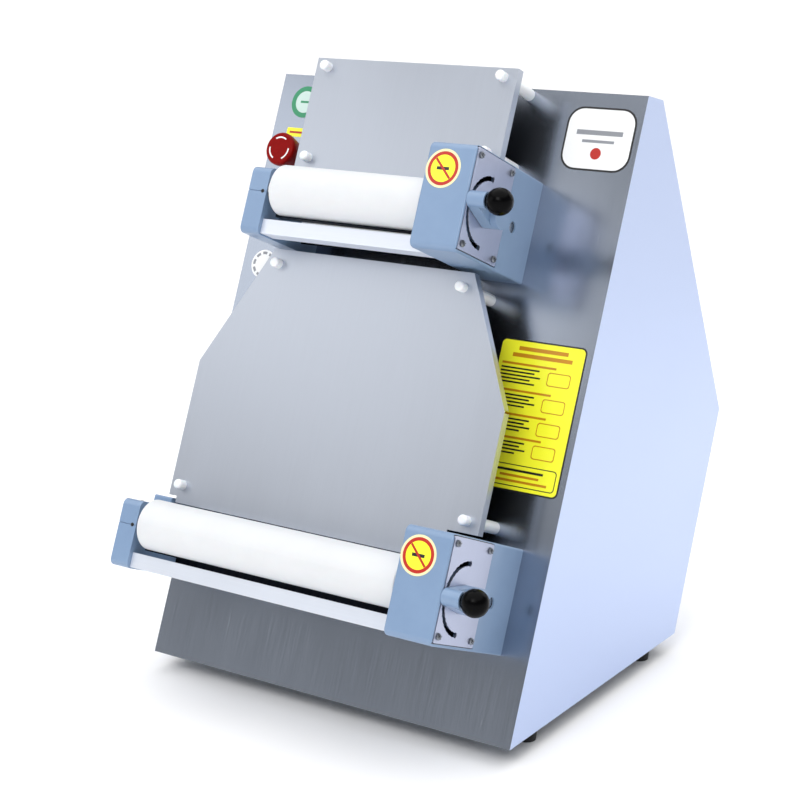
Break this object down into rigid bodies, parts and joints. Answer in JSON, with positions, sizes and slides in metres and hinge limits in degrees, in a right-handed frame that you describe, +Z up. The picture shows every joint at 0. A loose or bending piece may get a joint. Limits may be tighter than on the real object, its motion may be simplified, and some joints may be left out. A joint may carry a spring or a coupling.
{
  "type": "dough sheeter",
  "caption": "Bench dough sheeter with a leaning steel body, feed plates on spacers, paired white rollers with thickness levers and an emergency stop.",
  "frame": {"origin": "middle of the whole machine's box, on the bench under the feet", "axes": "+X to the operator's right, +Y to the back, +Z up"},
  "size_m": [0.4654, 0.55, 0.6509],
  "materials": {
    "belt_rubber": "black belt rubber",
    "black_ball": "moulded black phenolic",
    "black_plastic": "moulded black plastic",
    "bright_steel": "turned steel",
    "bronze": "plain bronze bearing",
    "cast_housing": "light blue-grey stove enamel on castings",
    "foot_rubber": "black rubber",
    "gear_steel": "machined cast iron",
    "gearbox_cast": "cast aluminium",
    "grey_plastic": "moulded grey plastic",
    "motor_paint": "grey enamel",
    "red_button": "moulded red plastic",
    "scale_metal": "satin anodised plate",
    "stainless_sheet": "brushed stainless steel sheet",
    "white_cap": "moulded white nylon",
    "white_roller": "turned white food-grade plastic",
    "zinc_steel": "zinc plated steel"
  },
  "bodies": {
    "machine_body": {"main_casing": "stainless_sheet", "rear_upper_cover": "stainless_sheet", "rear_lower_cover": "stainless_sheet", "base_plate": "stainless_sheet", "casing_fasteners": "zinc_steel", "cable_gland": "black_plastic", "rubber_feet": "foot_rubber", "upper_feed_plate": "stainless_sheet", "transfer_plate": "stainless_sheet", "plate_spacers": "white_cap", "plate_cap_nuts": "white_cap", "plate_studs": "zinc_steel", "lower_drive_housing": "cast_housing", "lower_scale_plate": "scale_metal", "lower_bearing_block": "cast_housing", "lower_roller_guard": "stainless_sheet", "upper_drive_housing": "cast_housing", "upper_scale_plate": "scale_metal", "upper_bearing_block": "cast_housing", "upper_roller_guard": "stainless_sheet", "rear_scrapers": "stainless_sheet", "ball_bearings": "bright_steel", "shaft_bushes": "bronze", "scale_plate_screws": "zinc_steel", "shaft_brackets": "zinc_steel", "drive_belts": "belt_rubber", "gearbox": "gearbox_cast", "motor": "motor_paint", "control_box": "grey_plastic", "estop_body": "black_plastic"},
    "lower_rear_roller_set": {"lower_rear_axle": "bright_steel", "lower_rear_roller": "white_roller", "lower_rear_gear": "gear_steel", "lower_drive_pulley": "gear_steel"},
    "lower_lever_set": {"lower_eccentric_shaft": "bright_steel", "lower_lever": "cast_housing"},
    "lower_knob_set": {"lower_plunger_pin": "bright_steel", "lower_ball_knob": "black_ball"},
    "lower_scraper_set": {"lower_front_scraper": "stainless_sheet"},
    "lower_front_roller_set": {"lower_front_roller": "white_roller", "lower_front_gear": "gear_steel", "lower_roller_bushes": "bronze"},
    "upper_rear_roller_set": {"upper_rear_axle": "bright_steel", "upper_rear_roller": "white_roller", "upper_rear_gear": "gear_steel", "upper_drive_pulley": "gear_steel"},
    "upper_lever_set": {"upper_eccentric_shaft": "bright_steel", "upper_lever": "cast_housing"},
    "upper_knob_set": {"upper_plunger_pin": "bright_steel", "upper_ball_knob": "black_ball"},
    "upper_scraper_set": {"upper_front_scraper": "stainless_sheet"},
    "upper_front_roller_set": {"upper_front_roller": "white_roller", "upper_front_gear": "gear_steel", "upper_roller_bushes": "bronze"},
    "main_shaft_set": {"main_shaft": "bright_steel", "main_shaft_pulleys": "gear_steel"},
    "upper_shaft_set": {"upper_shaft": "bright_steel", "upper_shaft_pulleys": "gear_steel"},
    "estop_stem_set": {"estop_stem": "black_plastic"},
    "estop_head_set": {"estop_head": "red_button"}
  },
  "joints": [
    {"name": "lower_rear_roller_spin", "type": "hinge", "parent": "machine_body", "child": "lower_rear_roller_set", "pos_m": [-0.035, -0.16958, 0.16044], "axis": [1, 0, 0], "continuous": true},
    {"name": "lower_thickness_lever", "type": "hinge", "parent": "machine_body", "child": "lower_lever_set", "pos_m": [0.18625, -0.22191, 0.18098], "axis": [1, 0, 0], "range_deg": [-90, 90]},
    {"name": "lower_knob_pull", "type": "slide", "parent": "lower_lever_set", "child": "lower_knob_set", "axis": [1, 0, 0], "range_m": [0, 0.005], "stiffness_N_per_m": 1200, "springref_m": -0.004},
    {"name": "lower_scraper_level", "type": "hinge", "parent": "lower_lever_set", "child": "lower_scraper_set", "pos_m": [-0.035, -0.22094, 0.18328], "axis": [1, 0, 0], "range_deg": [-90, 90]},
    {"name": "lower_front_roller_spin", "type": "hinge", "parent": "lower_scraper_set", "child": "lower_front_roller_set", "pos_m": [-0.035, -0.22094, 0.18328], "axis": [1, 0, 0], "continuous": true},
    {"name": "upper_rear_roller_spin", "type": "hinge", "parent": "machine_body", "child": "upper_rear_roller_set", "pos_m": [-0.03275, -0.02788, 0.4992], "axis": [1, 0, 0], "continuous": true},
    {"name": "upper_thickness_lever", "type": "hinge", "parent": "machine_body", "child": "upper_lever_set", "pos_m": [0.12075, -0.0802, 0.51973], "axis": [1, 0, 0], "range_deg": [-80, 100]},
    {"name": "upper_knob_pull", "type": "slide", "parent": "upper_lever_set", "child": "upper_knob_set", "axis": [1, 0, 0], "range_m": [0, 0.005], "stiffness_N_per_m": 1200, "springref_m": -0.004},
    {"name": "upper_scraper_level", "type": "hinge", "parent": "upper_lever_set", "child": "upper_scraper_set", "pos_m": [-0.03275, -0.07924, 0.52204], "axis": [1, 0, 0], "range_deg": [-100, 80]},
    {"name": "upper_front_roller_spin", "type": "hinge", "parent": "upper_scraper_set", "child": "upper_front_roller_set", "pos_m": [-0.03275, -0.07924, 0.52204], "axis": [1, 0, 0], "continuous": true},
    {"name": "main_shaft_spin", "type": "hinge", "parent": "machine_body", "child": "main_shaft_set", "pos_m": [0.03425, -0.05906, 0.11421], "axis": [1, 0, 0], "continuous": true},
    {"name": "upper_shaft_spin", "type": "hinge", "parent": "machine_body", "child": "upper_shaft_set", "pos_m": [0.03425, 0.08264, 0.45297], "axis": [1, 0, 0], "continuous": true},
    {"name": "estop_push", "type": "slide", "parent": "machine_body", "child": "estop_stem_set", "axis": [0, -0.9225, 0.3859], "range_m": [-0.004, 0]},
    {"name": "estop_twist", "type": "hinge", "parent": "estop_stem_set", "child": "estop_head_set", "pos_m": [-0.19275, 0.00941, 0.54999], "axis": [0, -0.9225, 0.3859], "range_deg": [0, 45], "stiffness_Nm_per_rad": 0.05, "springref_deg": -11.46}
  ],
  "couplings": [
    {"joint": "lower_scraper_level", "follows": "lower_thickness_lever", "ratio": -1},
    {"joint": "upper_scraper_level", "follows": "upper_thickness_lever", "ratio": -1},
    {"joint": "upper_rear_roller_spin", "follows": "lower_rear_roller_spin", "ratio": 1},
    {"joint": "lower_front_roller_spin", "follows": "lower_rear_roller_spin", "ratio": -1},
    {"joint": "upper_front_roller_spin", "follows": "lower_rear_roller_spin", "ratio": -1},
    {"joint": "main_shaft_spin", "follows": "lower_rear_roller_spin", "ratio": 1},
    {"joint": "upper_shaft_spin", "follows": "lower_rear_roller_spin", "ratio": 1}
  ]
}
